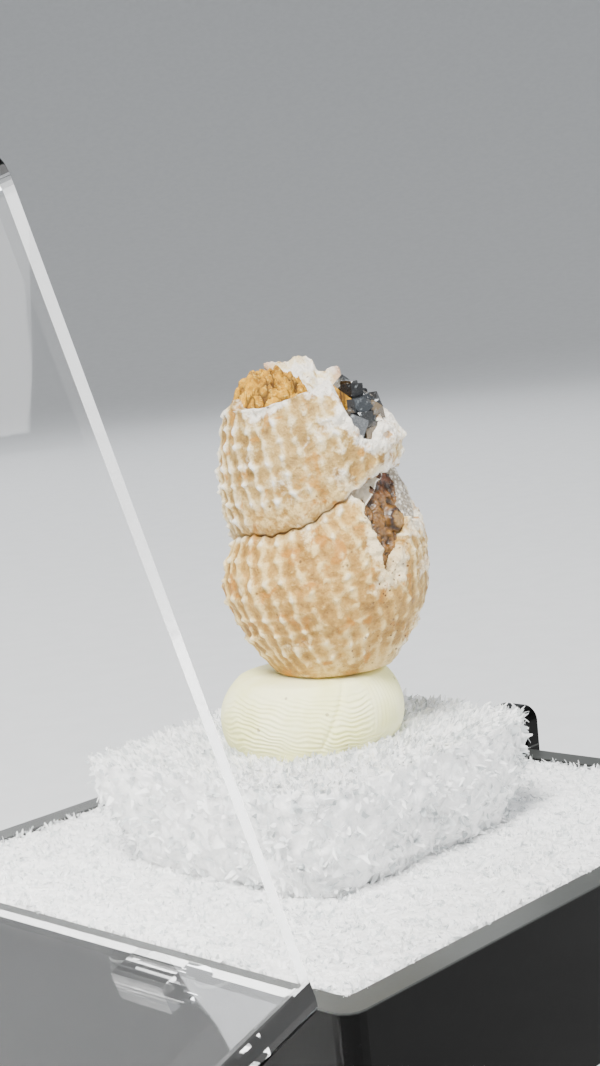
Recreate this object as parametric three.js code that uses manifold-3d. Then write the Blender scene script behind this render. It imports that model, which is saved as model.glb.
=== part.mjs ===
// A broken, mineral-filled land snail shell, stuck with putty on foam in a small hinged display box.
// Millimetres, +Z up. The origin is the centre of the box base's underside. The lid's hinge is along
// the -X side and the latch tongue is on the +X side. The lid is open and leans on the surface that
// the box stands on.

import * as THREE from 'three';
import { mergeVertices } from 'three/addons/utils/BufferGeometryUtils.js';
import Module from 'manifold-3d';

const wasm = await Module();
wasm.setup();

// Box
const BOX_SIDE = 32;
const CORNER = 0.9;
const INNER_CORNER = 0.5;
const BASE_HEIGHT = 7.6;
const BASE_WALL = 1.3;
const BASE_FLOOR = 1.2;
const LID_HEIGHT = 27;
const LID_WALL = 1;
const LID_CHAMFER = 0.7;
const LID_SEAT_GAP = 0.15;

// Hinge: two pins along Y, each between two knobs on the base, in a ring on the lid
const HINGE_OUT = 0.75;
const HINGE_DROP = 0.2;
const HINGE_SPREAD = 8.2;
const KNOB_RADIUS = 0.72;
const KNOB_SPACING = 4.9;
const NECK_RADIUS = 0.5;
const PIN_RADIUS = 0.4;
const RING_BORE = 0.5;
const RING_RADIUS = 0.95;
const RING_WIDTH = 2.9;
const ARM_HEIGHT = 1.2;
const NOTCH_CLEARANCE = 0.3;
const FLOOR_CLEARANCE = 0.02;

// Latch tongue. It and the pair of hinges sit a little off the middle of their sides.
const FITTINGS_Y = 1.2;
const TONGUE_WIDTH = 2.8;
const TONGUE_RISE = 2.1;
const TONGUE_ROOT = 3;
const TONGUE_THICKNESS = 1;
const TONGUE_CLEARANCE = 0.2;
const TONGUE_CORNER = 0.8;
const TONGUE_FOOT = 2.6;

// How far joined shapes run into one another
const JOIN = 0.2;

// Foam and putty
const FIT_GAP = 0.1;
const LINER_EDGE_DROP = 0.1;
const LINER_DISH = 0.3;
const BLOCK_SIDE = 16;
const BLOCK_FOOT_SIDE = 13.8;
const BLOCK_HEIGHT = 4.9;
const BLOCK_X = -0.2;
const BLOCK_Y = 0.2;
const PUTTY_RADIUS = 4.4;
const PUTTY_HEIGHT = 3.2;

// Shell: a right-handed coil about an upright axis. Angles are in degrees round that axis,
// anticlockwise from above, and 0 faces the -X -Y corner of the box.
const SHELL_X = 0.87;
const SHELL_Y = -0.89;
const SHELL_FRONT = 225;
const SHELL_FOOT_RADIUS = 2.85;
const SHELL_GIRTH = 5.1;
const BASE_ROUNDING = 6;
const WHORL_RADIUS = 4.2;
const WHORL_GROWTH = 0.14;
const WHORL_PITCH = 7.1;
const SUTURE_RISE = 7.85;
const SUTURE_SWAY = 0.36;
const TOP_RISE = 12.9;
const TOP_SWAY = 0.4;
const BREAK_ANGLE = 80;
const BREAK_HEIGHT = 11.4;
const BREAK_RADIUS = 3.8;
const BREAK_SLOPE = 0.9;
const AROUND = 56;
const UPWARD = 26;
const DEGREES_PER_MM = 360 / (2 * Math.PI * WHORL_RADIUS);

// Outlines of [angle, height] on the shell: the two infills of the broken side, the hole in the
// shoulder, and the flake of wall that stands up behind the sediment.
const BROWN_OUTLINE = [[24, 7.8], [37, 4.8], [58, 5.4], [66, 8.9], [50, 9.3]];
const MATRIX_OUTLINE = [[68.5, 6.4], [85, 6.8], [112, 8.3], [112, 9.6], [69, 8.9]];
const SHOULDER_OUTLINE = [[18, 12.6], [36, 11], [50, 10.65], [55, 11.3], [55, 14.9], [18, 14.9]];
const FLAKE_OUTLINE = [[141, 11.8], [224, 11.8], [224, 14.5], [172, 14.45], [166, 13.9], [143, 13.9]];
const FLAKE_OFFSET = 2.75;
const FLAKE_THICKNESS = 0.35;
const SIDE_DEPTH = 2.6;
const SHOULDER_DEPTH = 1.3;
const OUTSIDE = 8;
const BROWN_RECESS = 0.5;
const MATRIX_RECESS = 0.3;

// Sediment in the broken spire
const PLUG_SIDEWAYS = -1.7;
const PLUG_RADIUS = 1.85;
const PLUG_FLOOR = 11.1;
const PLUG_HEIGHT = 3.2;

const LINER_TOP = BASE_HEIGHT - LINER_DISH;
const BLOCK_BOTTOM = LINER_TOP + FIT_GAP;
const BLOCK_TOP = BLOCK_BOTTOM + BLOCK_HEIGHT;
const PUTTY_BOTTOM = BLOCK_TOP + FIT_GAP;
const SHELL_BOTTOM = PUTTY_BOTTOM + PUTTY_HEIGHT + FIT_GAP;
const HINGE_X = -BOX_SIDE / 2 - HINGE_OUT;
const HINGE_Z = BASE_HEIGHT - HINGE_DROP;
const LID_BOTTOM = BASE_HEIGHT + LID_SEAT_GAP;
const LID_TOP = LID_BOTTOM + LID_HEIGHT;

const COLORS = {
  blackPlastic: { color: '#17181a', roughness: 0.12, metalness: 0 },
  clearPlastic: { color: '#dfe6ea', roughness: 0.05, metalness: 0, transparent: true, opacity: 0.3 },
  fineFoam: { color: '#e9ebea', roughness: 0.75, metalness: 0 },
  coarseFoam: { color: '#eef0f0', roughness: 0.65, metalness: 0 },
  putty: { color: '#ece6cc', roughness: 0.7, metalness: 0 },
  shell: { color: '#dfd0b0', roughness: 0.6, metalness: 0 },
  ochre: { color: '#c2934a', roughness: 0.8, metalness: 0 },
  darkCrystal: { color: '#2b2f36', roughness: 0.15, metalness: 0 },
  brownCrystal: { color: '#8a5a3c', roughness: 0.3, metalness: 0 },
  matrix: { color: '#b9b6ac', roughness: 0.7, metalness: 0 },
};

// Solids

function toSolid(geometry) {
  const bare = geometry.clone();
  bare.deleteAttribute('normal');
  bare.deleteAttribute('uv');
  const merged = mergeVertices(bare, 1e-4);
  return new wasm.Manifold(
    new wasm.Mesh({
      numProp: 3,
      vertProperties: merged.attributes.position.array,
      triVerts: new Uint32Array(merged.index.array),
    }),
  );
}

function toGeometry(solid) {
  const mesh = solid.getMesh();
  const geometry = new THREE.BufferGeometry();
  geometry.setAttribute('position', new THREE.BufferAttribute(mesh.vertProperties, 3));
  geometry.setIndex(new THREE.BufferAttribute(mesh.triVerts, 1));
  return geometry;
}

function union(...solids) {
  return solids.reduce((whole, piece) => whole.add(piece));
}

function part(name, geometry, look) {
  const mesh = new THREE.Mesh(geometry, new THREE.MeshStandardMaterial(look));
  mesh.name = name;
  return mesh;
}

// A closed solid through level rings of points, from the lowest ring up. Every ring has the same
// number of points, anticlockwise from above, and each end is closed by a fan round its middle.
function ringSolid(rings) {
  const count = rings[0].length;
  const points = rings.flat();
  const foot = points.push(middle(rings[0])) - 1;
  const crown = points.push(middle(rings.at(-1))) - 1;
  const faces = [];
  for (let ring = 0; ring + 1 < rings.length; ring++) {
    for (let i = 0; i < count; i++) {
      const a = ring * count + i;
      const b = ring * count + ((i + 1) % count);
      faces.push(a, b, b + count, a, b + count, a + count);
    }
  }
  const last = (rings.length - 1) * count;
  for (let i = 0; i < count; i++) {
    const next = (i + 1) % count;
    faces.push(foot, next, i, crown, last + i, last + next);
  }
  return new THREE.BufferGeometry().setFromPoints(points).setIndex(faces);
}

function middle(ring) {
  const sum = ring.reduce((total, point) => total.add(point), new THREE.Vector3());
  return sum.divideScalar(ring.length);
}

function roundedSquare(side, corner, z, arcSteps = 4) {
  const points = [];
  for (let quarter = 0; quarter < 4; quarter++) {
    for (let step = 0; step <= arcSteps; step++) {
      const angle = (Math.PI / 2) * (quarter + step / arcSteps);
      const middleAngle = (Math.PI / 2) * (quarter + 0.5);
      const inset = (side / 2 - corner) * Math.SQRT2;
      const x = inset * Math.cos(middleAngle) + corner * Math.cos(angle);
      const y = inset * Math.sin(middleAngle) + corner * Math.sin(angle);
      points.push(new THREE.Vector3(x, y, z));
    }
  }
  return points;
}

// A wedge of space round the shell's axis: an outline of [angle, height] points, anticlockwise as
// seen from outside, swept from one distance off the axis to another.
function sector(outline, inner, outer) {
  const flat = outline.map(([angle, height]) => new THREE.Vector2(angle, height));
  const triangles = THREE.ShapeUtils.triangulateShape(flat, []);
  const count = outline.length;
  const near = outline.map(([angle, height]) => onShell(angle, inner, height));
  const far = outline.map(([angle, height]) => onShell(angle, outer, height));
  const faces = [];
  for (const [a, b, c] of triangles) {
    faces.push(a + count, b + count, c + count, a, c, b);
  }
  for (let i = 0; i < count; i++) {
    const next = (i + 1) % count;
    faces.push(i, next, next + count, i, next + count, i + count);
  }
  return toSolid(new THREE.BufferGeometry().setFromPoints([...near, ...far]).setIndex(faces));
}

// An outline moved outwards on the shell, away from its middle.
function grow(outline, margin) {
  const angles = outline.map(([angle]) => angle);
  const heights = outline.map(([, height]) => height);
  const middleAngle = (Math.min(...angles) + Math.max(...angles)) / 2;
  const middleHeight = (Math.min(...heights) + Math.max(...heights)) / 2;
  return outline.map(([angle, height]) => [
    angle + Math.sign(angle - middleAngle) * margin * DEGREES_PER_MM,
    height + Math.sign(height - middleHeight) * margin,
  ]);
}

// Box

function boxBase() {
  const cavitySide = BOX_SIDE - 2 * BASE_WALL;
  const outside = ringSolid([
    roundedSquare(BOX_SIDE, CORNER, 0),
    roundedSquare(BOX_SIDE, CORNER, BASE_HEIGHT),
  ]);
  const cavity = ringSolid([
    roundedSquare(cavitySide, INNER_CORNER, BASE_FLOOR),
    roundedSquare(cavitySide, INNER_CORNER, BASE_HEIGHT + 1),
  ]);
  let base = toSolid(outside).subtract(toSolid(cavity));
  for (const y of hingePlaces()) {
    base = union(base.subtract(hingeNotch(y)), ...hingePin(y));
  }
  return part('box_base', toGeometry(union(base, ...latchTongue())), COLORS.blackPlastic);
}

function hingePlaces() {
  return [FITTINGS_Y - HINGE_SPREAD, FITTINGS_Y + HINGE_SPREAD];
}

// Room for the lid's ring in the top of the wall.
function hingeNotch(y) {
  const reach = RING_RADIUS + NOTCH_CLEARANCE;
  const notch = new THREE.BoxGeometry(2 * reach, RING_WIDTH + 2 * NOTCH_CLEARANCE, 2 * reach);
  return toSolid(notch.translate(HINGE_X, y, HINGE_Z));
}

// A pin between two knobs, each on a short neck out of the wall.
function hingePin(y) {
  const neckLength = HINGE_OUT + BASE_WALL / 2;
  const pin = new THREE.CylinderGeometry(PIN_RADIUS, PIN_RADIUS, KNOB_SPACING, 16);
  const pieces = [toSolid(pin.translate(HINGE_X, y, HINGE_Z))];
  for (const end of [-1, 1]) {
    const knobY = y + (end * KNOB_SPACING) / 2;
    const knob = new THREE.SphereGeometry(KNOB_RADIUS, 20, 12);
    pieces.push(toSolid(knob.translate(HINGE_X, knobY, HINGE_Z)));
    const neck = new THREE.CylinderGeometry(NECK_RADIUS, NECK_RADIUS, neckLength, 16);
    neck.rotateZ(Math.PI / 2);
    neck.translate(HINGE_X + neckLength / 2, knobY, HINGE_Z - JOIN);
    pieces.push(toSolid(neck));
  }
  return pieces;
}

// A springy tongue with round upper corners, on a foot that holds it off the wall.
function latchTongue() {
  const low = BASE_HEIGHT - TONGUE_ROOT;
  const high = BASE_HEIGHT + TONGUE_RISE;
  const half = TONGUE_WIDTH / 2;
  const face = new THREE.Shape();
  face.moveTo(-half, low);
  face.lineTo(half, low);
  face.absarc(half - TONGUE_CORNER, high - TONGUE_CORNER, TONGUE_CORNER, 0, Math.PI / 2);
  face.absarc(-half + TONGUE_CORNER, high - TONGUE_CORNER, TONGUE_CORNER, Math.PI / 2, Math.PI);
  const options = { depth: TONGUE_THICKNESS, bevelEnabled: false, curveSegments: 6 };
  const tongue = new THREE.ExtrudeGeometry(face, options);
  tongue.rotateX(Math.PI / 2).rotateZ(Math.PI / 2);
  tongue.translate(BOX_SIDE / 2 + TONGUE_CLEARANCE, FITTINGS_Y, 0);
  const footThickness = TONGUE_CLEARANCE + 2 * JOIN;
  const foot = new THREE.BoxGeometry(footThickness, TONGUE_WIDTH, TONGUE_FOOT);
  foot.translate((BOX_SIDE + TONGUE_CLEARANCE) / 2, FITTINGS_Y, low + TONGUE_FOOT / 2);
  return [toSolid(foot), toSolid(tongue)];
}

// The lid's shape is built shut, and the group that holds it turns it open about the hinge.
function lidShut() {
  const cavitySide = BOX_SIDE - 2 * LID_WALL;
  const outside = ringSolid([
    roundedSquare(BOX_SIDE, CORNER, LID_BOTTOM),
    roundedSquare(BOX_SIDE, CORNER, LID_TOP - LID_CHAMFER),
    roundedSquare(BOX_SIDE - 2 * LID_CHAMFER, CORNER - LID_CHAMFER / 2, LID_TOP),
  ]);
  const cavity = ringSolid([
    roundedSquare(cavitySide, INNER_CORNER, LID_BOTTOM - 1),
    roundedSquare(cavitySide, INNER_CORNER, LID_TOP - LID_WALL),
  ]);
  let lid = toSolid(outside);
  for (const y of hingePlaces()) {
    lid = hingeClip(lid, y);
  }
  return lid.subtract(toSolid(cavity));
}

function hingeClip(lid, y) {
  const bar = (radius, width) =>
    toSolid(new THREE.CylinderGeometry(radius, radius, width, 24).translate(HINGE_X, y, HINGE_Z));
  const armLength = HINGE_OUT + LID_WALL / 2 + RING_RADIUS / 2;
  const arm = new THREE.BoxGeometry(armLength, RING_WIDTH, ARM_HEIGHT);
  arm.translate(HINGE_X + (armLength - RING_RADIUS) / 2, y, LID_BOTTOM + ARM_HEIGHT / 2);
  const whole = union(lid, toSolid(arm), bar(RING_RADIUS, RING_WIDTH));
  return whole.subtract(bar(RING_BORE, RING_WIDTH + 1));
}

// How far the lid turns, from shut, before the far edge of its back wall touches the surface below.
function lidOpening() {
  const edges = [
    [-BOX_SIDE / 2, LID_TOP - LID_CHAMFER],
    [-BOX_SIDE / 2 + LID_CHAMFER, LID_TOP],
  ];
  const turns = edges.map(([x, z]) => {
    const across = x - HINGE_X;
    const up = z - HINGE_Z;
    const drop = HINGE_Z - FLOOR_CLEARANCE;
    return Math.atan2(across, up) + Math.acos(-drop / Math.hypot(across, up));
  });
  return Math.min(...turns);
}

function boxLid() {
  const hinge = new THREE.Group();
  hinge.position.set(HINGE_X, 0, HINGE_Z);
  hinge.rotation.y = -lidOpening();
  const geometry = toGeometry(lidShut()).translate(-HINGE_X, 0, -HINGE_Z);
  hinge.add(part('box_lid', geometry, COLORS.clearPlastic));
  return hinge;
}

// Foam and putty

// A sheet that fills the tray, level with the rim at its edges and a little dished in the middle.
function foamLiner() {
  const side = BOX_SIDE - 2 * BASE_WALL - 2 * FIT_GAP;
  const rings = [
    roundedSquare(side, 0.9, BASE_FLOOR + FIT_GAP),
    roundedSquare(side, 0.9, BASE_HEIGHT - 4 * LINER_EDGE_DROP),
    roundedSquare(side - 0.6, 1, BASE_HEIGHT - LINER_EDGE_DROP),
    roundedSquare(side - 8, 2, LINER_TOP),
  ];
  return part('foam_liner', ringSolid(rings), COLORS.fineFoam);
}

// A torn block: its sides lean out to the top and wander a little.
function foamBlock() {
  const levels = 5;
  const rings = [];
  for (let level = 0; level <= levels; level++) {
    const lift = level / levels;
    const side = THREE.MathUtils.lerp(BLOCK_FOOT_SIDE, BLOCK_SIDE, Math.sin((lift * Math.PI) / 2));
    const ragged = level > 0 && level < levels ? 0.2 : 0;
    const ring = roundedSquare(side, 1, BLOCK_BOTTOM + lift * BLOCK_HEIGHT, 3);
    ring.forEach((point, i) => point.add(wander(i, level, ragged)));
    rings.push(ring);
  }
  return part('foam_block', ringSolid(rings).translate(BLOCK_X, BLOCK_Y, 0), COLORS.coarseFoam);
}

function wander(i, level, size) {
  return new THREE.Vector3(
    size * Math.sin(2.3 * i + 1.7 * level),
    size * Math.sin(3.1 * i + 2.9 * level),
    0,
  );
}

// A ball of putty pressed flat between the foam and the shell.
function putty() {
  const levels = 8;
  const rings = [];
  for (let level = 0; level <= levels; level++) {
    const lift = level / levels;
    const radius = PUTTY_RADIUS * Math.pow(Math.sin(Math.PI * (0.14 + 0.72 * lift)), 0.4);
    rings.push(circle(radius, PUTTY_BOTTOM + lift * PUTTY_HEIGHT));
  }
  return part('putty', ringSolid(rings), COLORS.putty);
}

function circle(radius, z, steps = 36) {
  const points = [];
  for (let i = 0; i < steps; i++) {
    const angle = (2 * Math.PI * i) / steps;
    points.push(new THREE.Vector3(radius * Math.cos(angle), radius * Math.sin(angle), z));
  }
  return points;
}

// Shell

// The point at an angle, a distance off the axis and a height over the shell's foot.
function onShell(angle, distance, height) {
  const turn = THREE.MathUtils.degToRad(SHELL_FRONT + angle);
  return new THREE.Vector3(
    SHELL_X + distance * Math.cos(turn),
    SHELL_Y + distance * Math.sin(turn),
    SHELL_BOTTOM + height,
  );
}

// One whorl's outline, from its upper suture (0) to its lower one (1): a shoulder, a swell, a tuck.
function whorlProfile(down) {
  const inWhorl = THREE.MathUtils.clamp(down, 0, 1);
  return 0.8 + 0.14 * down + 0.17 * Math.pow(Math.sin(Math.PI * inWhorl), 0.6);
}

// How far the outer face stands off the axis. The lower whorl is one growth turn on from the upper.
// Behind the shell the last suture dies away, where the lip was.
function shellRadius(angle, height) {
  const turn = angle / 360;
  const sway = -SUTURE_SWAY * Math.cos(THREE.MathUtils.degToRad(3 * (angle + 20)));
  const sutures = (SUTURE_RISE + sway + WHORL_PITCH * turn - height) / WHORL_PITCH;
  const ending = THREE.MathUtils.smoothstep(-angle, 95, 175);
  const whorl = Math.max(0, Math.ceil(-sutures));
  const down = sutures + whorl;
  const swollen = whorlProfile(Math.min(down, 0.55));
  const plain = whorl === 0 ? swollen : whorlProfile(down);
  const held = whorl === 0 ? whorlProfile(0.55) : swollen;
  const outline = THREE.MathUtils.lerp(plain, whorl < 2 ? held : plain, ending);
  const age = -turn - whorl + (whorl === 0 ? ending * 2 * turn : 0);
  const coil = WHORL_RADIUS * Math.exp(WHORL_GROWTH * (age + 1)) * outline;
  const climb = THREE.MathUtils.clamp(1 - height / BASE_ROUNDING, 0, 1);
  const foot = THREE.MathUtils.lerp(SHELL_GIRTH, SHELL_FOOT_RADIUS, Math.pow(climb, 2.2));
  return smoothMin(smoothMin(coil, foot, 0.25), brokenShoulder(angle, height), 0.25);
}

// The right shoulder is broken back on a slope.
function brokenShoulder(angle, height) {
  const away = 1 - Math.cos(THREE.MathUtils.degToRad(angle - BREAK_ANGLE));
  return BREAK_RADIUS - BREAK_SLOPE * (height - BREAK_HEIGHT) + 2.2 * away;
}

function smoothMin(a, b, reach) {
  const mix = THREE.MathUtils.clamp(0.5 + (b - a) / (2 * reach), 0, 1);
  return THREE.MathUtils.lerp(b, a, mix) - reach * mix * (1 - mix);
}

// The broken top rises towards the front right and the back left.
function topHeight(angle) {
  return TOP_RISE + TOP_SWAY * Math.cos(THREE.MathUtils.degToRad(2 * (angle - 25)));
}

function shellRings(inset) {
  const rings = [];
  for (let level = 0; level <= UPWARD; level++) {
    const ring = [];
    for (let i = 0; i < AROUND; i++) {
      const angle = -180 + (360 * i) / AROUND;
      const height = (topHeight(angle) * level) / UPWARD;
      ring.push(onShell(angle, shellRadius(angle, height) - inset, height));
    }
    rings.push(ring);
  }
  return rings;
}

function pocket(outline, depth) {
  return sector(grow(outline, FIT_GAP), depth, OUTSIDE);
}

function plugPlace(height) {
  return onShell(90, PLUG_SIDEWAYS, height);
}

function plugHole() {
  const radius = PLUG_RADIUS + FIT_GAP;
  const hole = new THREE.CylinderGeometry(radius, radius, 2 * PLUG_HEIGHT, 24);
  const place = plugPlace(PLUG_FLOOR + PLUG_HEIGHT);
  return toSolid(hole.rotateX(Math.PI / 2).translate(place.x, place.y, place.z));
}

function shell() {
  const coil = toSolid(ringSolid(shellRings(0)));
  const flake = sector(FLAKE_OUTLINE, FLAKE_OFFSET, FLAKE_OFFSET + FLAKE_THICKNESS);
  const broken = union(coil, flake)
    .subtract(pocket(BROWN_OUTLINE, SIDE_DEPTH))
    .subtract(pocket(MATRIX_OUTLINE, SIDE_DEPTH))
    .subtract(pocket(SHOULDER_OUTLINE, SHOULDER_DEPTH))
    .subtract(plugHole());
  return part('shell', toGeometry(broken), COLORS.shell);
}

// What fills a broken place, up to a face a little inside the shell's own.
function infill(name, outline, recess, look) {
  const body = toSolid(ringSolid(shellRings(recess)));
  const room = sector(outline, SIDE_DEPTH + FIT_GAP, OUTSIDE);
  return part(name, toGeometry(room.intersect(body)), look);
}

// Sediment that domes out of the broken spire.
function ochrePlug() {
  const levels = 6;
  const rings = [];
  for (let level = 0; level <= levels; level++) {
    const lift = level / levels;
    const radius = PLUG_RADIUS * Math.sqrt(1 - 0.9 * lift ** 3);
    rings.push(circle(radius, PLUG_HEIGHT * lift, 24));
  }
  const place = plugPlace(PLUG_FLOOR + FIT_GAP);
  return part('ochre_plug', ringSolid(rings).translate(place.x, place.y, place.z), COLORS.ochre);
}

// Stout prisms grown into one another, tilted this way and that.
function darkCrystals() {
  const crystals = [];
  for (let i = 0; i < 6; i++) {
    const crystal = new THREE.CylinderGeometry(0.4, 0.7, 2.2, 6);
    crystal.rotateX(Math.PI / 2 + 0.35 * Math.sin(4 * i)).rotateZ(1.1 * i);
    const place = onShell(24 + 5 * i, 2.6 + 0.3 * (i % 2), 12.25 - 0.25 * (i % 3));
    crystals.push(toSolid(crystal.translate(place.x, place.y, place.z)));
  }
  const room = sector(SHOULDER_OUTLINE, SHOULDER_DEPTH + FIT_GAP, OUTSIDE);
  const grown = union(...crystals).subtract(plugHole()).intersect(room);
  return part('dark_crystals', toGeometry(grown), COLORS.darkCrystal);
}

const snailShellBox = new THREE.Group();
snailShellBox.add(boxBase(), boxLid(), foamLiner(), foamBlock(), putty(), shell(), ochrePlug());
snailShellBox.add(darkCrystals());
snailShellBox.add(infill('brown_crystals', BROWN_OUTLINE, BROWN_RECESS, COLORS.brownCrystal));
snailShellBox.add(infill('matrix_fill', MATRIX_OUTLINE, MATRIX_RECESS, COLORS.matrix));

export default snailShellBox;
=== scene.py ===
"""A broken, mineral-filled land snail shell, stuck with putty on foam in a small hinged display box.

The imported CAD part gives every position. The box stays as the CAD has it, with better materials. The
shell, its infill, the putty and the foams are detailed meshes in the places of their CAD solids.
"""

import math

import bmesh
import bpy
import numpy as np
from mathutils import Matrix, Vector


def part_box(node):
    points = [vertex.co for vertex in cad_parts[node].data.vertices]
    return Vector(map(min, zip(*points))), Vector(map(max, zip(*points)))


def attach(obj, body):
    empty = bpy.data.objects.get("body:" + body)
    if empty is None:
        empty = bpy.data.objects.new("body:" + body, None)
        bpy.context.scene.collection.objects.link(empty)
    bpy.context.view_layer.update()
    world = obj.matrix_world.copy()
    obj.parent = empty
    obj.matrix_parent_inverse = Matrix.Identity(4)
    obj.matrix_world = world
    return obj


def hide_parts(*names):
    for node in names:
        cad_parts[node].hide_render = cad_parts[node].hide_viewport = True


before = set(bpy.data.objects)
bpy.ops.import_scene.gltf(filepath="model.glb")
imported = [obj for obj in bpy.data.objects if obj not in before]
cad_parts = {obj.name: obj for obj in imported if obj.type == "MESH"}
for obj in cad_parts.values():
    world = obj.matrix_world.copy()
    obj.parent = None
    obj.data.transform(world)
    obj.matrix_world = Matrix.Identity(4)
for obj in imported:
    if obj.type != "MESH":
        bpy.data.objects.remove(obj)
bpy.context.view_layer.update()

MM = 0.001

# Places taken from the CAD frame, in millimetres
liner_low, liner_high = (np.array(corner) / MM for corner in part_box("foam_liner"))
block_low, block_high = (np.array(corner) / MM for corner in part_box("foam_block"))
putty_low, putty_high = (np.array(corner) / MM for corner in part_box("putty"))
shell_low = np.array(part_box("shell")[0]) / MM
RIM_HEIGHT = liner_high[2] + 0.1

# The shell's upright axis, in plan, from the middle of the putty, and the way its front faces,
# in degrees
SHELL_OFFSET = (0.87, -0.89)
SHELL_FRONT = 225.0
shell_axis = (putty_low[:2] + putty_high[:2]) / 2 + SHELL_OFFSET
shell_foot = shell_low[2]

# Shell growth, as in the CAD: angles in degrees round the axis, heights over the foot
SHELL_TALL = 13.0
FOOT_RADIUS = 2.8
GIRTH = 5.1
BASE_ROUNDING = 6.0
WHORL_RADIUS = 4.2
WHORL_GROWTH = 0.14
WHORL_PITCH = 7.1
SUTURE_RISE = 7.85
SUTURE_SWAY = 0.36
BREAK_ANGLE = 80.0
BREAK_HEIGHT = 11.4
BREAK_RADIUS = 3.8
BREAK_SLOPE = 0.9

# Thicknesses, the rows of faces (each as deep as the wall) that line a broken edge, and how far
# the foam block sinks into the liner
WALL = 0.4
EDGE_ROWS = 2
FILL_THICKNESS = 0.3
FLAKE_THICKNESS = 0.16
SUNK = 0.2

# Plan direction that the camera sees as right
IMAGE_RIGHT = np.array([0.7, -0.71])

# The top edge of the flakes behind the sediment, along their length
FLAKE_PLACES = (0, 0.12, 0.3, 0.4, 0.55, 0.63, 0.67, 0.78, 0.93, 0.97, 1)
FLAKE_TOPS = (14.4, 14.5, 14.4, 14.6, 14.6, 14.4, 13.85, 13.8, 14.0, 13.95, 13.2)

# Sculpture: ribs round the shell, cords along the whorl, and knobs where they cross
# (RELIEF is their height in millimetres)
RIBS = 34
CORD_SPACING = WHORL_PITCH / 8
RIB_SLANT = 0.25
RELIEF = 0.24

# The wall's broken edges: degrees in a millimetre round the shell, the step that measures the
# outline's slope, and how near a point has to be to slide onto it
DEGREES_PER_MM = 13
SLOPE_STEP = 0.02
SLIDE_REACH = 0.07

# Outlines of the breaks, and of the smooth inner wall that shows in one, as (angle, height)
SIDE_BREAK = [
    (21, 8.45), (26, 7.95), (28.5, 6.9), (29.5, 6.2), (31, 5), (35, 4.55), (40.5, 4.95),
    (45, 5.6), (52, 6.35), (58, 6.95), (68, 6.75), (80, 6.8), (95, 7.1), (115, 8.3),
    (112, 9.5), (80, 9.3), (58, 9.25), (45, 9.15), (30, 8.8),
]
SMOOTH_INSIDE = [
    (15, 8.1), (24, 7.7), (31, 7.75), (38, 8.1), (47, 8.7), (60, 9.1), (60, 10.2), (15, 10.2),
]
SHOULDER_BREAK = [
    (17.5, 14), (20.5, 13.1), (20.5, 12.1), (28.7, 11.1), (36, 10.75), (43, 10.65),
    (50, 11.25), (59, 11.8), (62, 14),
]

# The wall's top edge: angles, and its height at each
TOP_ANGLES = (
    -180, -120, -85, -71, -67, -64, -58, -38, -27, -15, 5, 16, 22, 50, 65, 80, 105, 130, 150, 180,
)
TOP_HEIGHTS = (
    12.8, 12.4, 12.5, 12.55, 13.1, 12.65, 12.6, 12.65, 12.8, 13.0, 13.35, 13.5, 13.7, 12.5, 12.1,
    11.7, 11.7, 12.3, 12.8, 12.8,
)


# Numbers


def smoothstep(low, high, value):
    """0 below low, 1 above high, and smooth between."""
    share = np.clip((value - low) / (high - low), 0, 1)
    return share * share * (3 - 2 * share)


def blend_minimum(a, b, reach):
    """The lower of a and b, with the corner between them rounded over reach."""
    share = np.clip(0.5 + (b - a) / (2 * reach), 0, 1)
    return b + (a - b) * share - reach * share * (1 - share)


def hashed(cells, seed):
    """Three numbers from 0 to 1 for each whole-number 3-D cell."""
    x, y, z = (cells[..., i].astype(np.uint64) for i in range(3))
    mixed = x * np.uint64(73856093) ^ y * np.uint64(19349663) ^ z * np.uint64(83492791)
    mixed = mixed + np.uint64(seed * 2654435761 % 2**32)
    values = []
    for _ in range(3):
        mixed = (mixed ^ (mixed >> np.uint64(15))) * np.uint64(0x2C1B3C6D297A2D39)
        mixed = mixed ^ (mixed >> np.uint64(31))
        values.append((mixed >> np.uint64(11)).astype(float) / 2**53)
    return np.stack(values, -1)


def soft_noise(points, size, seed=0):
    """Smooth noise from about -1 to 1, with bumps of a size in millimetres."""
    scaled = points / size + 1000
    cell = np.floor(scaled).astype(np.int64)
    local = scaled - cell
    fade = local**3 * (local * (local * 6 - 15) + 10)
    total = np.zeros(scaled.shape[:-1])
    for corner in np.ndindex(2, 2, 2):
        gradient = 2 * hashed(cell + corner, seed) - 1
        weight = np.prod(np.where(np.array(corner) == 1, fade, 1 - fade), -1)
        total += weight * np.sum(gradient * (local - corner), -1)
    return total * 1.5


def rough_noise(points, size, layers=3, seed=0):
    """Soft noise with finer layers on it, each half the size and height of the last."""
    return sum(soft_noise(points, size / 2**k, seed + k) / 2**k for k in range(layers))


def cell_distances(points, size, seed=0):
    """Distances to the nearest and the next of the scattered cell centres, as shares of size."""
    scaled = points / size + 1000
    cell = np.floor(scaled).astype(np.int64)
    nearest = np.full(scaled.shape[:-1], 9.0)
    second = nearest.copy()
    for step in np.ndindex(3, 3, 3):
        neighbour = cell + step - 1
        centre = neighbour + hashed(neighbour, seed)
        distance = np.linalg.norm(scaled - centre, axis=-1)
        second = np.minimum(second, np.maximum(nearest, distance))
        nearest = np.minimum(nearest, distance)
    return nearest, second


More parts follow.
